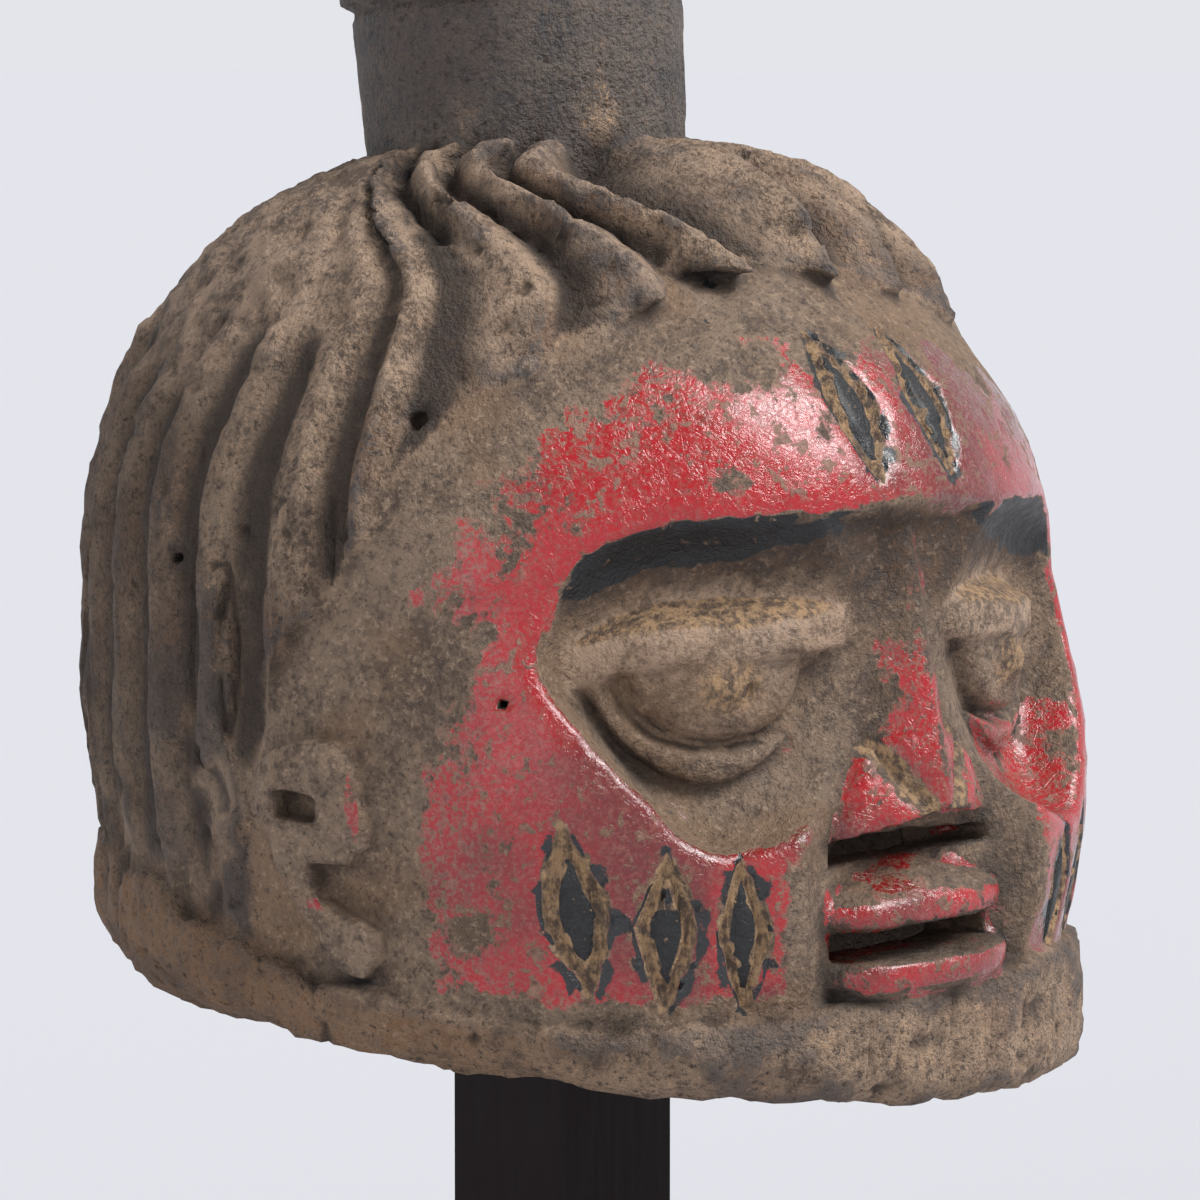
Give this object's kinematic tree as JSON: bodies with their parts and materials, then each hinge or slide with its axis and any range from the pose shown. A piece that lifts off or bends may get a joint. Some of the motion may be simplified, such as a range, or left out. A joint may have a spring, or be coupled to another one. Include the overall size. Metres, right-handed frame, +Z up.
{
  "type": "carved wooden helmet mask on a stand",
  "caption": "Hollow carved wooden helmet mask: a painted face with cut lozenge marks under combed hair, a collared stump on the crown, resting on a square post and foot",
  "frame": {"origin": "centre of the foot's underside, on the post's axis, at the surface that the stand rests on", "axes": "+Z up, the face looks along -Y, +X is the mask's own left side"},
  "size_m": [0.2724, 0.2615, 0.407],
  "materials": {
    "carved_wood": "weathered, worn red and black paint",
    "stand_wood": "satin dark paint"
  },
  "bodies": {
    "root": {"mask": "carved_wood", "stand_post": "stand_wood", "stand_foot": "stand_wood"}
  },
  "joints": []
}
